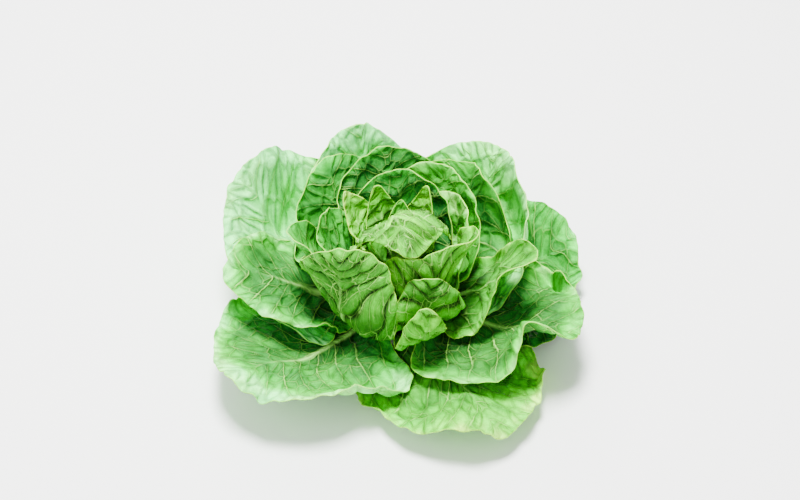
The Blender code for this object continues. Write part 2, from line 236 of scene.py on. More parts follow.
class Cups:
    """The two families of cup profiles, back and front, and the blend of them at each azimuth.

    Each is a table of radius and height over layer and length from the foot.
    """

    LAYERS = np.linspace(0, 1.3, 131)
    LENGTHS = np.linspace(0, 180 * MM, 121)

    def __init__(self):
        tables = [self.tables(np.array(profiles)) for profiles in (BACK_PROFILES, FRONT_PROFILES)]
        self.radius, self.height, self.spread = zip(*tables)

    def tables(self, known):
        """One family's radius and height, and how far apart its layers lie, from its profiles."""
        rows = [np.interp(self.LAYERS, known[:, 0], known[:, k]) for k in range(1, known.shape[1])]
        pitch = np.radians([np.interp(self.LENGTHS, PITCH_STATIONS, row) for row in zip(*rows)])
        # The corners between the stations are rounded off
        size = round(PITCH_BLEND / self.LENGTHS[1])
        padded = np.pad(pitch, ((0, 0), (size // 2, size - 1 - size // 2)), mode="edge")
        pitch = np.mean([padded[:, k : k + pitch.shape[1]] for k in range(size)], axis=0)
        step = self.LENGTHS[1]
        halfway = (pitch[:, 1:] + pitch[:, :-1]) / 2
        foot = HIGHEST_FOOT + (LOWEST_FOOT - HIGHEST_FOOT) * self.LAYERS
        start = np.zeros((len(self.LAYERS), 1))
        run = np.concatenate([start, np.cumsum(np.cos(halfway), 1) * step], 1)
        rise = np.concatenate([start, np.cumsum(np.sin(halfway), 1) * step], 1)
        radius = (stem_radius(foot) + FOOT_GAP)[:, None] + run
        height = foot[:, None] + rise
        spread = np.hypot(
            np.gradient(radius, self.LAYERS, axis=0), np.gradient(height, self.LAYERS, axis=0)
        )
        return radius, height, spread

    def read(self, pair, turn, layer, length):
        """A pair of tables' value at any azimuth, layer and length, by straight interpolation."""
        i = np.clip(layer / self.LAYERS[1], 0, len(self.LAYERS) - 1.001)
        j = np.clip(length / self.LENGTHS[1], 0, len(self.LENGTHS) - 1.001)
        i0, j0 = i.astype(int), j.astype(int)
        di, dj = i - i0, j - j0
        back, front = (
            table[i0, j0] * (1 - di) * (1 - dj)
            + table[i0 + 1, j0] * di * (1 - dj)
            + table[i0, j0 + 1] * (1 - di) * dj
            + table[i0 + 1, j0 + 1] * di * dj
            for table in pair
        )
        share = smooth_step(np.cos(turn - FRONT) / FRONT_WHOLE)
        return back * (1 - share) + front * share

    def place(self, turn, length, layer):
        """Points in space at these azimuths, lengths from the foot and layers."""
        radius = self.read(self.radius, turn, layer, length)
        height = self.read(self.height, turn, layer, length)
        # Near the floor, heights level out instead of passing through it
        low = FLOOR_GAP + BLADE_THICKNESS
        height = low + MM * np.logaddexp(0, (height - low) / MM)
        return np.stack([radius * np.cos(turn), radius * np.sin(turn), height], axis=-1)


CUPS = Cups()


def half_widths(leaf, t):
    """Half the blade's width at each share t of its length: a narrow foot and a broad round top."""
    foot = CUPS.read(CUPS.radius, 0, np.array([leaf.layer]), np.zeros(1))[0] * FOOT_WRAP
    full = leaf.half_width * MM
    narrow = 1 - NARROWING * smooth_step((t - NARROWS_FROM) / NARROWS_OVER)
    return (foot + (full - foot) * smooth_step(t / FULL_WIDTH_AT)) * narrow


def leaf_layout(leaf, rows, columns):
    """The azimuth, length and layer of each of a leaf's points before packing, from foot to tip."""
    s = np.linspace(-1, 1, columns)[None]
    t = np.linspace(0, 1, rows)[:, None]
    across = s * half_widths(leaf, t)
    share = t - (leaf.bow * np.abs(s) ** (2 - leaf.point) - leaf.slant * s) * t**2
    length = leaf.length * MM * share
    middle = np.full(length.shape, leaf.layer)
    straight = np.full(length.shape, math.radians(leaf.azimuth))
    radius = np.maximum(CUPS.read(CUPS.radius, straight, middle, length), LEAST_WRAP_RADIUS)
    turn = straight + math.radians(leaf.sweep) * share**2 + across / radius
    # Waves fan out from the lower midrib and grow towards the margin
    shaped = smooth_step(t / SHAPED_OVER)
    margin = np.maximum(np.abs(s) ** 1.6, smooth_step((t - 0.5) / 0.5)) * shaped
    fan = np.arctan2(across, leaf.length * MM * (share - 0.2))
    wave = np.sin(leaf.waves * fan + leaf.phase)
    second = np.sin(SECOND_WAVE_RATE * leaf.waves * fan + 2.3 * leaf.phase + 1)
    wave = wave + SECOND_WAVE * second
    lift = np.where(s < 0, leaf.lift[0], leaf.lift[1])
    outward = (
        leaf.droop * share**2
        - lift * s**2 * shaped
        - leaf.roll * s * shaped
        + leaf.wave * margin**1.4 * wave
    ) * MM
    layer = middle + outward / CUPS.read(CUPS.spread, turn, middle, length)
    return turn, length, layer


def cap_cage(leaf):
    """The points of the leaf that folds over the heart, in its own upright plane."""
    t = np.linspace(0, 1, leaf.rows)
    s = np.linspace(-1, 1, leaf.columns)
    fine = np.linspace(0, 1, CAP_STEPS + 1)
    pitch = np.radians(np.interp(fine, np.linspace(0, 1, len(CAP_PITCH)), CAP_PITCH))
    padded = np.pad(pitch, CAP_EVENED // 2, mode="edge")
    pitch = np.convolve(padded, np.ones(CAP_EVENED) / CAP_EVENED, mode="valid")
    step = leaf.length * MM / CAP_STEPS
    run = CAP_FOOT[0] + np.cumsum(np.cos(pitch)) * step
    rise = CAP_FOOT[1] + np.cumsum(np.sin(pitch)) * step
    azimuth = math.radians(leaf.azimuth)
    forward = np.array([math.cos(azimuth), math.sin(azimuth), 0])
    side = np.array([-math.sin(azimuth), math.cos(azimuth), 0])
    up = np.array([0, 0, 1])
    cage = np.zeros((leaf.rows, leaf.columns, 3))
    for row, share in enumerate(t):
        neck = smooth_step((share - CAP_NECK_FROM) / CAP_NECK)
        half = CAP_NECK_HALF_WIDTH + (leaf.half_width - CAP_NECK_HALF_WIDTH) * neck
        half = half * (1 - 0.2 * smooth_step((share - 0.7) / 0.3)) * MM
        for column, across in enumerate(s):
            short = CAP_SHORT * smooth_step(CAP_TURN * across)
            at = share * (1 - short) - leaf.bow * across**2 * share**3
            radius, height, angle = (np.interp(at, fine, values) for values in (run, rise, pitch))
            bend = math.radians(CAP_CUP) * abs(across) * neck
            reach = abs(across) * half * (1 - bend**2 / 6)
            sink = abs(across) * half * bend / 2
            margin = max(abs(across) ** 1.6, smooth_step((share - 0.6) / 0.4)) * neck
            wave = leaf.wave * MM * margin * math.sin(leaf.waves * (across + 2 * at) + leaf.phase)
            off_crease = (across - CAP_CREASE_AT * CAP_TURN) / CAP_CREASE_WIDTH
            crease = CAP_CREASE * neck * math.exp(-(off_crease**2))
            inward = -forward * math.sin(angle) + up * math.cos(angle)
            cage[row, column] = (
                forward * radius
                + up * height
                + side * (math.copysign(reach, across) + CAP_SHIFT * neck)
                + inward * (sink + wave + crease)
            )
    return cage


def rib(leaf, rows, columns):
    """The blade's thickness at each point: a rib that runs out towards the tip, on a thin blade."""
    s = np.linspace(-1, 1, columns)[None]
    t = np.linspace(0, 1, rows)[:, None]
    across = s * half_widths(leaf, t)
    # The outer leaves have the thicker ribs
    size = (0.25 + 0.75 * leaf.layer) * (RIB_THICKNESS - BLADE_THICKNESS)
    fade = np.clip(1 - t / RIB_FADE, 0, 1)
    return BLADE_THICKNESS + size * fade * np.exp(-((across / RIB_HALF_WIDTH) ** 2))


def refined(grid, times):
    """A grid with each cell split, by straight interpolation."""
    for axis in (0, 1):
        n = grid.shape[axis]
        at = np.linspace(0, n - 1, (n - 1) * times + 1)
        low = np.minimum(at.astype(int), n - 2)
        part = (at - low).reshape([-1 if a == axis else 1 for a in range(grid.ndim)])
        grid = np.take(grid, low, axis) * (1 - part) + np.take(grid, low + 1, axis) * part
    return grid


def window(field, size, reduce):
    """Each value of a field replaced by a reduction of the square of values round it."""
    padded = np.pad(field, size, mode="edge")
    rows, columns = field.shape
    span = range(2 * size + 1)
    return reduce([padded[i : i + rows, j : j + columns] for i in span for j in span], axis=0)


class Packing:
    """The outermost layer reached so far in each direction, and the bending of leaves past it.

    The directions are cells of azimuth and length from the foot. Leaves are read at points that
    are FINER times as close as their own.
    """

    TURNS = 240
    LENGTH_STEP = 3 * MM
    LENGTH_STEPS = 61
    FINER = 5
    OUTERMOST = 1.2
    EASINGS = 4

    def __init__(self):
        self.reached = np.full((self.TURNS, self.LENGTH_STEPS), -1.0)

    def cells(self, turn, length):
        """The cell that each point lies in."""
        i = np.floor(turn / (2 * math.pi) * self.TURNS).astype(int) % self.TURNS
        j = np.clip((length / self.LENGTH_STEP).astype(int), 0, self.reached.shape[1] - 1)
        return i, j

    def gap(self, length):
        """What a leaf keeps to those inside it, at this length from its foot."""
        share = smooth_step(length / BLADE_GAP_FROM)
        return FOOT_LEAF_GAP + (BLADE_LEAF_GAP - FOOT_LEAF_GAP) * share

    def bend_clear(self, turn, length, layer):
        """The leaf's layers, moved outwards wherever a leaf inside it is in the way."""
        wrapped = np.concatenate([self.reached[-1:], self.reached, self.reached[:1]])
        widened = window(wrapped, 1, np.max)[1:-1]
        fine_turn, fine_length = refined(turn, self.FINER), refined(length, self.FINER)
        inner = widened[self.cells(fine_turn, fine_length)]
        within = np.clip(inner, 0, self.OUTERMOST)
        spread = CUPS.read(CUPS.spread, fine_turn, within, fine_length)
        push = np.maximum(inner + self.gap(fine_length) / spread - refined(layer, self.FINER), 0)
        push = window(push, self.FINER, np.max)[:: self.FINER, :: self.FINER]
        for _ in range(self.EASINGS):
            push = np.maximum(push, window(push, 1, np.mean))
        return layer + push

    def add(self, leaf, turn, length, layer):
        """Records how far out the leaf's outer face now reaches."""
        within = np.clip(layer, 0, self.OUTERMOST)
        spread = CUPS.read(CUPS.spread, turn, within, length)
        radius = CUPS.read(CUPS.radius, turn, within, length)
        # A blade that crosses the layers at a slant takes up more of them than its thickness
        sideways = np.gradient(layer, axis=1) * spread / (np.gradient(turn, axis=1) * radius)
        lengthways = np.gradient(layer, axis=0) * spread / np.gradient(length, axis=0)
        slant = np.sqrt(1 + np.clip(sideways, -2, 2) ** 2 + np.clip(lengthways, -2, 2) ** 2)
        outer = layer + slant * rib(leaf, *layer.shape) / spread
        at = self.cells(refined(turn, self.FINER), refined(length, self.FINER))
        np.maximum.at(self.reached, at, refined(outer, self.FINER))


def packed_leaves():
    """Every leaf's points, from the heart outwards, each bent clear of those before it."""
    packing = Packing()
    cages = []
    for leaf in LEAVES:
        if leaf.name == "heart_cap":
            cages.append(cap_cage(leaf))
            continue
        turn, length, layer = leaf_layout(leaf, leaf.rows, leaf.columns)
        layer = packing.bend_clear(turn, length, layer)
        packing.add(leaf, turn, length, layer)
        cages.append(CUPS.place(turn, length, layer))
    return cages


# How fine the leaves are made here: the size of a face, the blade, and how much of the rib's
# height they keep
FINE_STEP = 1.5 * MM
FINE_BLADE = 0.7 * MM
FINE_RIB = 0.95

# Notches of the margin, at their deepest, as shares of the half width and of the length
SIDE_NOTCH = 0.028
TIP_NOTCH = 0.018

# Veins: side veins lie this far apart, and the net between them divides them at this spacing.
# Each wanders over distances like these, and those of the two sides start a little apart.
VEIN_SPACING = 15 * MM
VEIN_WANDER = 34 * MM
NET_SPACING = 14 * MM
NET_WANDER = 15 * MM
SIDES_APART = 0.22

# Relief of the blade, at its strongest: blisters between the veins, with small ones on them, the
# grooves of the side veins and of the midrib, and the frill of the margin
BLISTER = 2.8 * MM
SMALL_BLISTER = 0.35
GROOVE = 1.2 * MM
MIDRIB_GROOVE = 1.0 * MM
FRILL = 3.0 * MM

# How wide the grooves are, how far in from the margin the blade is smooth and the frill reaches,
# and the spacing of the small blisters against the others'
GROOVE_HALF_WIDTH = 1.8 * MM
MIDRIB_HALF_WIDTH = 2.6 * MM
SMOOTH_MARGIN = 9 * MM
FRILL_REACH = 7 * MM
SMALL_BLISTER_RATE = 2.3

# What one step of the blade's flat map stands for, and the widest distance in the edge marks
BLADE_MAP_STEP = 10 * MM
EDGE_MARK_RANGE = 20 * MM


def scattered(value):
    """A number between 0 and 1 that jumps about with the value, the same each time."""
    value = np.sin(value) * 43758.5453
    return value - np.floor(value)


def smooth_noise(x, y, seed):
    """Values between -1 and 1 that wander over a plane, the same each time for one seed."""
    column, row = np.floor(x), np.floor(y)
    fx, fy = smooth_step(x - column), smooth_step(y - row)

    def corner(dx, dy):
        return 2 * scattered((column + dx) * 127.1 + (row + dy) * 311.7 + seed * 74.7) - 1

    low = corner(0, 0) * (1 - fx) + corner(1, 0) * fx
    high = corner(0, 1) * (1 - fx) + corner(1, 1) * fx
    return low * (1 - fy) + high * fy


def nearest_bump(x, y, seed):
    """The distance to the nearest of a field of scattered points, one to each unit square."""
    column, row = np.floor(x), np.floor(y)
    nearest = np.full(x.shape, 9.0)
    for dx in (-1, 0, 1):
        for dy in (-1, 0, 1):
            cx, cy = column + dx, row + dy
            px = cx + 0.15 + 0.7 * scattered(cx * 127.1 + cy * 311.7 + seed)
            py = cy + 0.15 + 0.7 * scattered(cx * 269.5 + cy * 183.3 + seed)
            nearest = np.minimum(nearest, np.hypot(x - px, y - py))
    return nearest


def curve_through(cage, row, column):
    """Points of the smooth surface through a leaf's cage, at any fractional row and column."""
    # One more row and column beyond each edge, straight on
    framed = np.concatenate([2 * cage[:1] - cage[1:2], cage, 2 * cage[-1:] - cage[-2:-1]])
    before, after = 2 * framed[:, :1] - framed[:, 1:2], 2 * framed[:, -1:] - framed[:, -2:-1]
    framed = np.concatenate([before, framed, after], 1)

    def shares(at, count):
        start = np.clip(np.floor(at).astype(int), 0, count - 2)
        u = at - start
        return start, (
            (-u + 2 * u**2 - u**3) / 2,
            (2 - 5 * u**2 + 3 * u**3) / 2,
            (u + 4 * u**2 - 3 * u**3) / 2,
            (-(u**2) + u**3) / 2,
        )

    first_row, row_shares = shares(row, cage.shape[0])
    first_column, column_shares = shares(column, cage.shape[1])
    total = 0
    for i, row_share in enumerate(row_shares):
        for j, column_share in enumerate(column_shares):
            share = (row_share * column_share)[..., None]
            total = total + share * framed[first_row + i, first_column + j]
    return total


@dataclass
class Finish:
    """How one leaf looks: how yellow its green is, how pale its middle and its margin are, and how
    strongly it is blistered, each from 0 to about 1, and how wide its margin is in millimetres.

    crease is how deep its side veins lie and how much painted shade darkens them, where they aren't
    pale, climb is how steeply they rise from the midrib, side is how much paler its anticlockwise
    side is painted and the other side darker, as painted light and shade, and wash is how patchy
    its tone is. A blister below 0 swells its outer face, on the leaf that shows that face.
    """

    yellow: float
    middle: float
    margin: float
    blister: float
    width: float = 12
    crease: float = 0
    climb: float = 1
    side: float = 0
    wash: float = 0.08


FINISHES = {
    "heart_cap": Finish(1.0, 0.50, 0.76, -1.4, 9, crease=0.7, climb=1.4, wash=0.32),
    "heart_roll": Finish(0.5, 0.50, 0.70, 0.4, 6),
    "heart_left": Finish(0.7, 0.45, 0.74, 0.6, 6),
    "heart_peak_right": Finish(1.0, 0.50, 0.82, 0.6, 8, crease=0.4, wash=0.14),
    "heart_peak_left": Finish(0.9, 0.50, 0.80, 0.6, 8, crease=0.4, wash=0.14),
    "heart_spike": Finish(0.8, 0.70, 0.96, 0.6, 10),
    "heart_front": Finish(0.8, 0.30, 0.54, 1.2, 8, crease=0.8, wash=0.14),
    "heart_wrap": Finish(0.85, 0.42, 0.68, 0.9, 9, crease=0.8, climb=2.6, wash=0.14),
    "heart_back": Finish(0.0, 0.34, 0.62, 0.9, 8, crease=0.3, wash=0.14),
    "heart_right": Finish(0.4, 0.78, 0.94, 1.2, 12, crease=0.4),
    "inner_left": Finish(0.15, 0.54, 0.72, 0.4, 10, wash=0.1),
    "inner_back_right": Finish(0.3, 0.54, 0.78, 0.6, 10, wash=0.12),
    "inner_back": Finish(0.1, 0.28, 0.60, 0.7, 10, wash=0.14),
    "inner_left_spoon": Finish(0.1, 0.48, 0.72, 0.4, 10, wash=0.12),
    "inner_front_wrap": Finish(0.85, 0.36, 0.56, 1.2, 8, crease=0.9, climb=2.2, wash=0.16),
    "inner_front_left": Finish(0.75, 0.30, 0.62, 1.1, 16, crease=1.0, climb=2.2, wash=0.16),
    "inner_right": Finish(0.65, 0.38, 0.74, 0.9, 12, crease=0.5, climb=1.6, wash=0.16),
    "middle_back_right": Finish(0.2, 0.40, 0.64, 0.6, 8, wash=0.14),
    "middle_back_left": Finish(0.0, 0.36, 0.72, 0.4, 12, wash=0.14),
    "inner_front": Finish(0.85, 0.50, 0.72, 1.2, 8, crease=0.7, wash=0.16),
    "middle_left": Finish(0.15, 0.31, 0.88, 0.45, 26, climb=1.2, wash=0.14),
    "outer_back_right": Finish(0.15, 0.82, 1.02, 0.35, 24, climb=1.2, wash=0.12),
    "outer_back": Finish(0.0, 0.84, 1.1, 0.35, 24, climb=1.4, wash=0.12),
    "outer_left": Finish(0.0, 0.94, 1.16, 0.25, 30, climb=1.2, wash=0.12),
    "middle_right": Finish(0.3, 0.30, 0.84, 0.4, 26, climb=1.4, wash=0.14),
    "outer_front_left": Finish(0.15, 0.36, 1.06, 0.4, 38, climb=1.2, side=0.14, wash=0.14),
    "outer_right": Finish(0.0, 0.46, 0.72, 0.4, 20, climb=1.2, wash=0.14),
    "outer_front": Finish(0.6, 0.56, 0.88, 0.4, 36, climb=1.7, side=0.1, wash=0.14),
    # Painted shade: the low leaf at the right is painted darkest, as it lies in shade near the
    # floor
    "low_right": Finish(0.0, 0.16, 0.30, 0.4, 14),
    "low_back": Finish(0.0, 0.34, 0.60, 0.4, 20),
}

# Blade colours from deepest to palest, of a green and of a yellow leaf, and the colour of a foot
TONES = np.array([0.0, 0.35, 0.6, 0.8, 1.0])
GREENS = np.array([
    [0.004, 0.050, 0.006],
    [0.015, 0.170, 0.021],
    [0.020, 0.380, 0.022],
    [0.050, 0.640, 0.055],
    [0.180, 0.920, 0.220],
])
YELLOWS = np.array([
    [0.012, 0.060, 0.003],
    [0.034, 0.210, 0.006],
    [0.070, 0.460, 0.000],
    [0.182, 0.720, 0.000],
    [0.600, 0.980, 0.012],
])
FOOT = np.array([0.30, 0.66, 0.12])
# How much paler raised places are painted, and how much darker creases and the depths between
# leaves, as painted light and shade
RELIEF_PAINTED_LIGHT = 0.13
CREASE_SHADE = 0.26
DEEP_SHADE = 0.42


def mixed(first, second, share):
    """Two fields of colours, mixed point by point by a share."""
    share = np.clip(share, 0, 1)[..., None]
    return first * (1 - share) + second * share


class FineLeaf:
    """The points, marks and colours of one leaf on a fine grid, from foot to tip, side to side."""

    def __init__(self, leaf, cage, seed):
        self.leaf = leaf
        finish = FINISHES[leaf.name]
        rows = int(leaf.length * MM / FINE_STEP) + 1
        columns = int(2 * leaf.half_width * MM / FINE_STEP) | 1
        s = np.linspace(-1, 1, columns)[None] * np.ones((rows, 1))
        t = np.linspace(0, 1, rows)[:, None] * np.ones((1, columns))
        across = s * half_widths(leaf, t)
        along = leaf.length * MM * (t - (leaf.bow * s**2 - leaf.slant * s) * t**2)
        self.s, self.t, self.across, self.along = s, t, across, along
        self.fan = np.arctan2(across, along - 0.2 * leaf.length * MM)
        # Distance to the margin
        self.edge = np.minimum((1 - np.abs(s)) * half_widths(leaf, t), (1 - t) * leaf.length * MM)
        self.map_veins(finish, seed)
        relief = self.relief(finish, seed)

        points = self.notched(cage, seed)
        normals = np.cross(np.gradient(points, axis=0), np.gradient(points, axis=1))
        normals /= -np.maximum(np.linalg.norm(normals, axis=-1, keepdims=True), 1e-12)
        points = points + normals * relief[..., None] * (1 if finish.blister > 0 else -1)
        points[..., 2] = np.maximum(points[..., 2], FLOOR_GAP + FINE_BLADE)
        self.points = points
        self.thickness = FINE_BLADE + (rib(leaf, rows, columns) - BLADE_THICKNESS) * FINE_RIB
        self.crease = np.full(t.shape, finish.crease)
        self.paint = self.colour(finish, relief, seed)

    def notched(self, cage, seed):
        """The points of the plain leaf's smooth surface, with small notches round the margin."""
        leaf, s, t = self.leaf, self.s, self.t
        nick = 0.5 + 0.5 * smooth_noise(self.fan * leaf.length / 9, t * 0, seed + 3)
        fine_nick = 0.5 + 0.5 * smooth_noise(self.fan * leaf.length / 4, t * 0, seed + 4)
        nick = nick + 0.5 * fine_nick
        side = 1 - SIDE_NOTCH * nick * smooth_step(t / 0.5) * np.abs(s) ** 6
        top = 1 - TIP_NOTCH * nick * t**8
        row = t * top * (cage.shape[0] - 1)
        column = (s * side + 1) / 2 * (cage.shape[1] - 1)
        return curve_through(cage, row, column)

    def map_veins(self, finish, seed):
        """The two directions of the veins: along the midrib, and out from it."""
        across, along = self.across, self.along
        wander = smooth_noise(across / VEIN_WANDER, along / VEIN_WANDER, seed)
        wander = (0.26 + 0.5 * finish.crease) * wander
        sided = SIDES_APART * np.tanh(across / (3 * MM))
        climb = finish.climb * np.abs(across) ** 0.9 * MM**0.1
        spacing = VEIN_SPACING * math.hypot(1, finish.climb) / (1.3 + 0.25 * finish.crease)
        self.vein = (along - climb) / spacing + wander + sided + seed % 1
        wander = smooth_noise(along / NET_WANDER, across / NET_WANDER, seed + 1)
        self.net = np.abs(across) / NET_SPACING + 0.3 * wander

    def relief(self, finish, seed):
        """The height of each point above the plain blade, positive towards the inner face."""
        leaf, t, across, fan = self.leaf, self.t, self.across, self.fan
        full = smooth_step(self.edge / SMOOTH_MARGIN) * smooth_step(t / 0.35)
        cell = nearest_bump(self.vein, self.net, seed)
        blister = np.clip(1 - (cell / 0.72) ** 2, 0, 1)
        rate = SMALL_BLISTER_RATE
        small = nearest_bump(self.vein * rate, self.net * rate, seed + 9)
        small = np.clip(1 - (small / 0.7) ** 2, 0, 1)
        swelling = blister + SMALL_BLISTER * small - 0.5
        relief = abs(finish.blister) * BLISTER * full * swelling

        # Grooves along the side veins, which die out at the midrib, and along the midrib
        off_vein = np.abs(self.vein - np.round(self.vein)) * VEIN_SPACING
        groove = np.exp(-((off_vein / GROOVE_HALF_WIDTH) ** 2))
        self.groove = groove * smooth_step(np.abs(across) / (4 * MM)) * full
        relief -= GROOVE * (1 + 1.1 * finish.crease) * self.groove
        groove = np.exp(-((across / MIDRIB_HALF_WIDTH) ** 2))
        relief -= MIDRIB_GROOVE * groove * (1 - smooth_step(t / 0.95))

        # Frill: quick waves that die out a finger's width from the margin
        rim = np.exp(-self.edge / FRILL_REACH) * smooth_step(t / 0.45)
        quick = leaf.length / 14
        sway = np.sin(quick * fan * 2 + 3 * smooth_noise(fan * 3, t * 0, seed + 5))
        sway = sway + 0.5 * np.sin(quick * fan * 4.3 + 2 * smooth_noise(fan * 5, t * 0, seed + 6))
        relief += FRILL * (0.35 + 0.65 * leaf.layer) * rim * sway * 0.7
        return relief

    def colour(self, finish, relief, seed):
        """The blade's own colour at each point, before veins."""
        x, y = self.across / MM, self.along / MM
        wash = smooth_noise(x / 30, y / 30, seed + 11)
        wash = wash + 0.5 * smooth_noise(x / 12, y / 12, seed + 12)
        inside = smooth_step((self.edge / MM + 0.35 * finish.width * wash) / finish.width)
        tone = finish.margin + (finish.middle - finish.margin) * inside
        # Painted light on raised places and painted shade in the hollows
        raised = np.clip(relief / (1.4 * MM), -1.2, 1.2)
        # Painted light and shade across the leaf: its anticlockwise side paler, the other side
        # darker
        tone += finish.wash * wash + RELIEF_PAINTED_LIGHT * raised + finish.side * self.s
        # Painted shade along the grooves of the side veins
        tone -= CREASE_SHADE * finish.crease * self.groove
        # Painted shade deep between the leaves, and pale again at the very foot
        tone -= DEEP_SHADE * (1 - smooth_step((self.t - 0.16) / 0.54))
        green, yellow = (
            np.stack([np.interp(tone, TONES, colours[:, k]) for k in range(3)], axis=-1)
            for colours in (GREENS, YELLOWS)
        )
        base = mixed(green, yellow, finish.yellow + 0.12 * wash)
        return mixed(base, FOOT, (1 - smooth_step(self.t / 0.18)) * 0.9)


def grid_mesh(name, rows, columns):
    """A flat mesh of square faces, and the row and the column of each of its points."""
    mesh = bpy.data.meshes.new(name)
    bm = bmesh.new()
    bmesh.ops.create_grid(bm, x_segments=columns - 1, y_segments=rows - 1, size=1)
    column = np.array([round((v.co.x + 1) / 2 * (columns - 1)) for v in bm.verts])
    row = np.array([round((v.co.y + 1) / 2 * (rows - 1)) for v in bm.verts])
    bm.to_mesh(mesh)
    bm.free()
    return mesh, row, column


def flat_list(values):
    """Values as Blender takes them: one long row of plain numbers."""
    return values.astype(np.float32).ravel()


def fine_object(fine, materials):
    """A leaf as a smooth grid over its fine points, thickened on its outer side."""
    leaf = fine.leaf
    mesh, row, column = grid_mesh("fine_" + leaf.name, *fine.t.shape)
    mesh.vertices.foreach_set("co", flat_list(fine.points[row, column]))

    # Two maps, one of the veins and one of the flat blade, in its own place for each leaf
    corner_vertex = np.zeros(len(mesh.loops), dtype=np.int32)
    mesh.loops.foreach_get("vertex_index", corner_vertex)
    blade = fine.across / BLADE_MAP_STEP + 7 * leaf.azimuth, fine.along / BLADE_MAP_STEP
    for name, first, second in (("veins", fine.vein, fine.net), ("blade", *blade)):
        values = np.stack([first[row, column], second[row, column]], axis=-1)[corner_vertex]
        mesh.uv_layers.new(name=name).data.foreach_set("uv", flat_list(values))

    # The blade's colour, and marks: distance to the margin, midrib, length from the foot, and how
    # pale its side veins are, against the painted shade that lies along them in creases
    midrib_width = (0.8 + 3.0 * (1 - fine.t) ** 2 * (0.3 + 0.6 * leaf.layer)) * MM
    midrib = np.exp(-((fine.across / midrib_width) ** 4))
    midrib = midrib * (1 - smooth_step((fine.t - 0.35) / 0.5))
    marks = np.stack([fine.edge / EDGE_MARK_RANGE, midrib, fine.t, 1 - fine.crease], axis=-1)
    paint = np.concatenate([fine.paint, np.ones((*fine.t.shape, 1))], axis=-1)
    for name, values in (("paint", paint), ("marks", marks)):
        layer = mesh.color_attributes.new(name, "FLOAT_COLOR", "POINT")
        layer.data.foreach_set("color", flat_list(values[row, column]))
    mesh.shade_smooth()
    for material in materials:
        mesh.materials.append(material)

    obj = bpy.data.objects.new("fine_" + leaf.name, mesh)
    bpy.context.scene.collection.objects.link(obj)
    group = obj.vertex_groups.new(name="thickness")
    weights = (fine.thickness / RIB_THICKNESS)[row, column]
    for index, weight in enumerate(weights):
        group.add([index], float(weight), "REPLACE")
    solid = obj.modifiers.new("blade", "SOLIDIFY")
    solid.thickness = RIB_THICKNESS
    solid.vertex_group = group.name
    solid.offset = 1
    solid.material_offset = 1
    solid.material_offset_rim = 2
    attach(obj, "root")
    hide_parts("leaf_" + leaf.name)


# Colours of the veins, the midrib and the rim, over the blade's own
VEIN_GREEN = (0.36, 0.84, 0.12, 1)
MIDRIB_GREEN = (0.34, 0.78, 0.14, 1)
RIM_GREEN = (0.38, 0.74, 0.06, 1)

# Cells of the net of veins, and of the finest net, to one step of the veins' map
NET_SCALE = 1.4
FINE_NET_SCALE = 5.5

# Light that passes through a blade, its relief in the bump, and its faint gloss
BLADE_GLOW = 0.2
BLADE_GLOW_COLOUR = (0.6, 1.0, 0.25)
BLADE_GLOW_DEPTH = 1.2 * MM
BUMP_DISTANCE = 1.6 * MM
BLADE_GLOSS = 0.06

# The faces of a leaf: how strongly each thing shows there, and how high its bump is. Below 0 the
# bump is turned over, because the inner face is hollow where the outer one swells.
LEAF_FACES = (
    ("leaf_inner_face", {"Side Veins": 0.85, "Net": 0.7, "Rim": 1.0, "Cell Shade": 0.24}, -0.5),
    ("leaf_outer_face", {"Side Veins": 0.6, "Net": 0.24, "Rim": 1.0, "Cell Shade": 0.4}, 0.9),
    ("leaf_margin", {"Side Veins": 0.0, "Net": 0.0, "Rim": 0.9, "Cell Shade": 0.0}, 0.1),
)

# The stem's colours: its cut face, the rings in it, its dried edge, and its skin
CUT_FLESH = (0.80, 0.80, 0.56, 1)
CUT_RINGS = (0.58, 0.66, 0.36, 1)
DRIED_EDGE = (0.46, 0.30, 0.13, 1)
SKIN_PALE = (0.66, 0.74, 0.42, 1)
SKIN_GREEN = (0.46, 0.62, 0.26, 1)
# Its finest grain, its rings, in radians to the metre, and how far they wander
STEM_GRAIN = 260.0
STEM_RINGS = 3600.0
STEM_WANDER = 4 * MM

# The studio: its floor, its even light, and the name, place, size and power of each lamp
FLOOR_COLOUR = (0.93, 0.93, 0.92, 1)
FLOOR_HALF_SIZE = 6
DAYLIGHT = (1.0, 1.0, 1.0, 1)
DAYLIGHT_STRENGTH = 0.91
LAMPS = (
    ("key", (-0.10, 0.15, 1.80), 0.5, 145),
    ("fill", (-1.2, -0.8, 1.2), 1.4, 16),
    ("back", (-0.4, 1.3, 1.0), 1.0, 14),
)
LIT_POINT = Vector((0, 0, 0.05))

# The camera: it looks down at the front of the head, with the stem's foot at pixel (402, 312),
# and shows this many pixels to the millimetre there in a picture this many pixels wide
CAMERA_ELEVATION = math.radians(48)
CAMERA_DISTANCE = 1.8
PIXELS_PER_MM = 1.193
PICTURE_WIDTH = 800
SENSOR_WIDTH = 36
# The point that it looks at, from the stem's foot: up the picture, and to the right
AIM_UP = 0.0520
AIM_RIGHT = -0.0017


def new_material(name):
    """An empty material with its output, Principled shader, and the two joined up."""
    material = bpy.data.materials.new(name)
    material.use_nodes = True
    tree = material.node_tree
    tree.nodes.clear()
    output = tree.nodes.new("ShaderNodeOutputMaterial")
    shader = tree.nodes.new("ShaderNodeBsdfPrincipled")
    tree.links.new(shader.outputs["BSDF"], output.inputs["Surface"])
    return material, tree, shader


def node(tree, kind, inputs=None, **settings):
    """A node with its properties set, and its sockets set or linked, by number or name."""
    made = tree.nodes.new("ShaderNode" + kind)
    for key, value in settings.items():
        setattr(made, key, value)
    for key, value in (inputs or {}).items():
        if isinstance(value, bpy.types.NodeSocket):
            tree.links.new(value, made.inputs[key])
        else:
            made.inputs[key].default_value = value
    return made


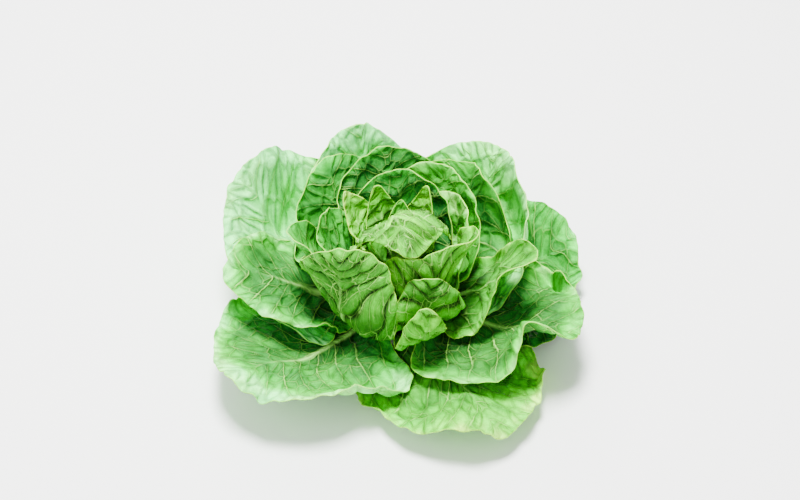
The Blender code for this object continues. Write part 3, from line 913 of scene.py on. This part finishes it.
def between(tree, value, low, high, first=0.0, last=1.0):
    """A value carried from the range low to high over to first to last, with smooth ends."""
    inputs = {0: value, 1: low, 2: high, 3: first, 4: last}
    return node(tree, "MapRange", inputs, interpolation_type="SMOOTHSTEP").outputs[0]


def worked(tree, operation, *values):
    """The result of one sum: the operation's name, and the values that it works on."""
    return node(tree, "Math", dict(enumerate(values)), operation=operation).outputs[0]


def product(tree, *factors):
    """All the factors multiplied together."""
    total = factors[0]
    for factor in factors[1:]:
        total = worked(tree, "MULTIPLY", total, factor)
    return total


def rest_of(tree, share):
    """What is left of 1 beside a share."""
    return worked(tree, "SUBTRACT", 1.0, share)


def blended(tree, share, first, second, blend="MIX"):
    """The second colour laid over the first, as strongly as the share says."""
    inputs = {0: share, 6: first, 7: second}
    return node(tree, "Mix", inputs, data_type="RGBA", blend_type=blend).outputs[2]


def blade_noise(tree, blade, scale, detail, roughness=0.5):
    """Noise over the blade's own flat map."""
    inputs = {"Vector": blade, "Scale": scale, "Detail": detail, "Roughness": roughness}
    return node(tree, "TexNoise", inputs, noise_dimensions="2D")


def net_cells(tree, veins, scale, feature, output):
    """The cells of a net over the veins' map: their colours, or the distance to their edges."""
    inputs = {"Vector": veins, "Scale": scale}
    made = node(tree, "TexVoronoi", inputs, voronoi_dimensions="2D", feature=feature)
    return made.outputs[output]


def wandering(group, veins, blade):
    """The veins' map, moved about a little so that they wander."""
    drift = blade_noise(group, blade, 1.6, 3.0).outputs["Color"]
    moved = node(group, "VectorMath", {0: drift, "Scale": 0.11}, operation="SCALE").outputs[0]
    return node(group, "VectorMath", {0: veins, 1: moved}, operation="ADD").outputs[0]


def off_side_vein(group, veins):
    """How far each place is from the nearest side vein, from 0 on it to 0.5 halfway between."""
    along = node(group, "SeparateXYZ", {0: veins}).outputs[0]
    nearest = worked(group, "ROUND", along)
    return worked(group, "ABSOLUTE", worked(group, "SUBTRACT", along, nearest))


def leaf_surface_group():
    """Shared by every face of a leaf: the net of veins, washes of colour, painted shade in the
    cells and creases, and the pale margin.
    """
    group = bpy.data.node_groups.new("leaf_surface", "ShaderNodeTree")
    for name in ("Side Veins", "Net", "Rim", "Cell Shade"):
        group.interface.new_socket(name, in_out="INPUT", socket_type="NodeSocketFloat")
    for name, kind in (("Colour", "Color"), ("Roughness", "Float"), ("Height", "Float")):
        group.interface.new_socket(name, in_out="OUTPUT", socket_type="NodeSocket" + kind)
    given = group.nodes.new("NodeGroupInput").outputs
    result = group.nodes.new("NodeGroupOutput").inputs

    # What the mesh brings: two maps, the blade's colour, and the marks
    blade = node(group, "UVMap", uv_map="blade").outputs[0]
    veins = wandering(group, node(group, "UVMap", uv_map="veins").outputs[0], blade)
    paint = node(group, "VertexColor", layer_name="paint").outputs[0]
    marked = node(group, "VertexColor", layer_name="marks").outputs
    edge, midrib, along = node(group, "SeparateColor", {0: marked[0]}).outputs
    pale = marked["Alpha"]

    # Side veins, and a net and a finer net of veins between them, bolder in some places
    off = off_side_vein(group, veins)
    bold = between(group, blade_noise(group, blade, 0.6, 2.0).outputs[0], 0.35, 0.62, 0.2, 1.0)
    side_vein = between(group, off, 0.008, 0.045, 1.0, 0.0)
    side_vein = product(group, side_vein, bold, between(group, edge, 0.0, 0.5, 0.25, 1.0))
    cell_edge = net_cells(group, veins, NET_SCALE, "DISTANCE_TO_EDGE", "Distance")
    fine_edge = net_cells(group, veins, FINE_NET_SCALE, "DISTANCE_TO_EDGE", "Distance")
    net = between(group, cell_edge, 0.008, 0.048, 1.0, 0.0)
    fine_net = between(group, fine_edge, 0.01, 0.09, 0.4, 0.0)
    net = worked(group, "MAXIMUM", net, fine_net)
    net = product(group, net, bold, between(group, along, 0.15, 0.4))

    # How light the blade is, as painted shade: its cells dark at their edges, dark beside the side
    # veins, and dark along those that lie in creases
    outline = between(group, cell_edge, 0.02, 0.2, 1.0, 0.0)
    cell_painted_shade = worked(group, "SUBTRACT", 1.06, product(group, outline, given["Cell Shade"]))
    vein_painted_shade = between(group, off, 0.03, 0.16, 0.8, 1.0)
    crease = product(group, rest_of(group, pale), between(group, off, 0.006, 0.1, 0.78, 0.0))
    # Each cell takes its own tint, under soft washes and fine grain
    tint = net_cells(group, veins, NET_SCALE, "F1", "Color")
    tint = node(group, "SeparateColor", {0: tint}).outputs[0]
    wash = blade_noise(group, blade, 0.9, 6.0, 0.68).outputs[0]
    grain = blade_noise(group, blade, 14.0, 4.0).outputs[0]
    # The blade's lightness: the painted shade, times the cells' own tints, washes and grain
    light = product(
        group,
        cell_painted_shade,
        vein_painted_shade,
        rest_of(group, crease),
        worked(group, "MULTIPLY_ADD", tint, 0.3, 0.87),
        between(group, wash, 0.3, 0.7, 0.72, 1.24),
        between(group, grain, 0.3, 0.7, 0.93, 1.07),
    )
    light = node(group, "CombineColor", {0: light, 1: light, 2: light}).outputs[0]

    # The colours, each over the one before: blade, net, side veins, midrib and rim
    colour = blended(group, 1.0, paint, light, "MULTIPLY")
    colour = blended(group, product(group, net, given["Net"]), colour, VEIN_GREEN)
    share = product(group, side_vein, pale, given["Side Veins"])
    colour = blended(group, share, colour, VEIN_GREEN)
    colour = blended(group, midrib, colour, MIDRIB_GREEN)
    rim = product(group, between(group, edge, 0.004, 0.034, 0.85, 0.0), given["Rim"])
    rim = product(group, rim, between(group, wash, 0.3, 0.6, 0.45, 1.0))
    group.links.new(blended(group, rim, colour, RIM_GREEN), result["Colour"])

    group.links.new(between(group, wash, 0.2, 0.8, 0.42, 0.6), result["Roughness"])
    puff = between(group, cell_edge, 0.0, 0.3)
    ridge = worked(group, "MAXIMUM", side_vein, rest_of(group, puff))
    group.links.new(worked(group, "MULTIPLY_ADD", grain, 0.16, ridge), result["Height"])
    return group


def leaf_material(name, group, values, bump):
    """One face of the leaves: the shared surface, with this face's veins and relief."""
    material, tree, shader = new_material(name)
    surface = tree.nodes.new("ShaderNodeGroup")
    surface.node_tree = group
    for key, value in values.items():
        surface.inputs[key].default_value = value
    inputs = {"Strength": abs(bump), "Distance": BUMP_DISTANCE, "Height": surface.outputs["Height"]}
    relief = node(tree, "Bump", inputs, invert=bump < 0)
    tree.links.new(surface.outputs["Colour"], shader.inputs["Base Color"])
    tree.links.new(surface.outputs["Roughness"], shader.inputs["Roughness"])
    tree.links.new(relief.outputs[0], shader.inputs["Normal"])
    shader.inputs["Subsurface Weight"].default_value = BLADE_GLOW
    shader.inputs["Subsurface Radius"].default_value = BLADE_GLOW_COLOUR
    shader.inputs["Subsurface Scale"].default_value = BLADE_GLOW_DEPTH
    shader.inputs["Specular IOR Level"].default_value = BLADE_GLOSS
    return material


def stem_material():
    """Pale flesh with a greenish skin, rings on the cut face and a thin brown edge, dried."""
    material, tree, shader = new_material("cut_stem_flesh")
    place = node(tree, "TexCoord").outputs["Object"]
    x, y, height = node(tree, "SeparateXYZ", {0: place}).outputs
    flat = node(tree, "CombineXYZ", {0: x, 1: y, 2: 0.0}).outputs[0]
    radius = node(tree, "VectorMath", {0: flat}, operation="LENGTH").outputs["Value"]
    grain = node(tree, "TexNoise", {"Vector": place, "Scale": STEM_GRAIN, "Detail": 4.0}).outputs[0]
    radius = worked(tree, "ADD", radius, product(tree, grain, STEM_WANDER))
    ring = worked(tree, "SINE", product(tree, radius, STEM_RINGS))
    face = blended(tree, between(tree, ring, -1, 1, 0.0, 0.35), CUT_FLESH, CUT_RINGS)
    face = blended(tree, between(tree, radius, 13.5 * MM, 17.5 * MM), face, DRIED_EDGE)
    skin = blended(tree, between(tree, grain, 0.35, 0.7), SKIN_PALE, SKIN_GREEN)
    colour = blended(tree, between(tree, height, 0.4 * MM, 2.2 * MM), face, skin)
    tree.links.new(colour, shader.inputs["Base Color"])
    tree.links.new(between(tree, grain, 0.3, 0.7, 0.35, 0.6), shader.inputs["Roughness"])
    relief = node(tree, "Bump", {"Strength": 0.4, "Distance": 0.6 * MM, "Height": grain})
    tree.links.new(relief.outputs[0], shader.inputs["Normal"])
    shader.inputs["Subsurface Weight"].default_value = 0.3
    shader.inputs["Subsurface Scale"].default_value = 3 * MM
    return material


def build_head():
    """All the leaves and the stem, dressed."""
    group = leaf_surface_group()
    materials = [leaf_material(name, group, values, bump) for name, values, bump in LEAF_FACES]
    for index, (leaf, cage) in enumerate(zip(LEAVES, packed_leaves())):
        seed = 3.7 * index + 1.3
        fine_object(FineLeaf(leaf, cage, seed), materials)
    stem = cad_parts["stem"]
    stem.data.materials.clear()
    stem.data.materials.append(stem_material())


def build_floor():
    """A plain pale floor, wide enough for every view."""
    mesh = bpy.data.meshes.new("floor")
    bm = bmesh.new()
    bmesh.ops.create_grid(bm, x_segments=1, y_segments=1, size=FLOOR_HALF_SIZE)
    bm.to_mesh(mesh)
    bm.free()
    floor = bpy.data.objects.new("floor", mesh)
    bpy.context.scene.collection.objects.link(floor)
    material, _, shader = new_material("pale_floor")
    shader.inputs["Base Color"].default_value = FLOOR_COLOUR
    shader.inputs["Roughness"].default_value = 0.9
    mesh.materials.append(material)


def build_light():
    """Even light from all round, and soft lamps above, beside and behind the head."""
    world = bpy.data.worlds.new("studio")
    world.use_nodes = True
    background = world.node_tree.nodes["Background"]
    background.inputs["Color"].default_value = DAYLIGHT
    background.inputs["Strength"].default_value = DAYLIGHT_STRENGTH
    bpy.context.scene.world = world
    for name, place, size, power in LAMPS:
        lamp = bpy.data.lights.new(name, "AREA")
        lamp.size = size
        lamp.energy = power
        light = bpy.data.objects.new(name, lamp)
        light.location = place
        light.rotation_euler = (LIT_POINT - Vector(place)).to_track_quat("-Z", "Y").to_euler()
        bpy.context.scene.collection.objects.link(light)


def build_camera():
    """The camera, at the picture's angle and scale."""
    sine, cosine = math.sin(CAMERA_ELEVATION), math.cos(CAMERA_ELEVATION)
    target = Vector((0, sine, cosine)) * AIM_UP + Vector((AIM_RIGHT, 0, 0))
    eye = bpy.data.cameras.new("camera")
    eye.sensor_width = SENSOR_WIDTH
    eye.lens = PIXELS_PER_MM * SENSOR_WIDTH * CAMERA_DISTANCE * 1000 / PICTURE_WIDTH
    camera = bpy.data.objects.new("camera", eye)
    camera.location = target + CAMERA_DISTANCE * Vector((0, -cosine, sine))
    camera.rotation_euler = (target - camera.location).to_track_quat("-Z", "Y").to_euler()
    bpy.context.scene.collection.objects.link(camera)
    bpy.context.scene.camera = camera


build_head()
build_floor()
build_light()
build_camera()
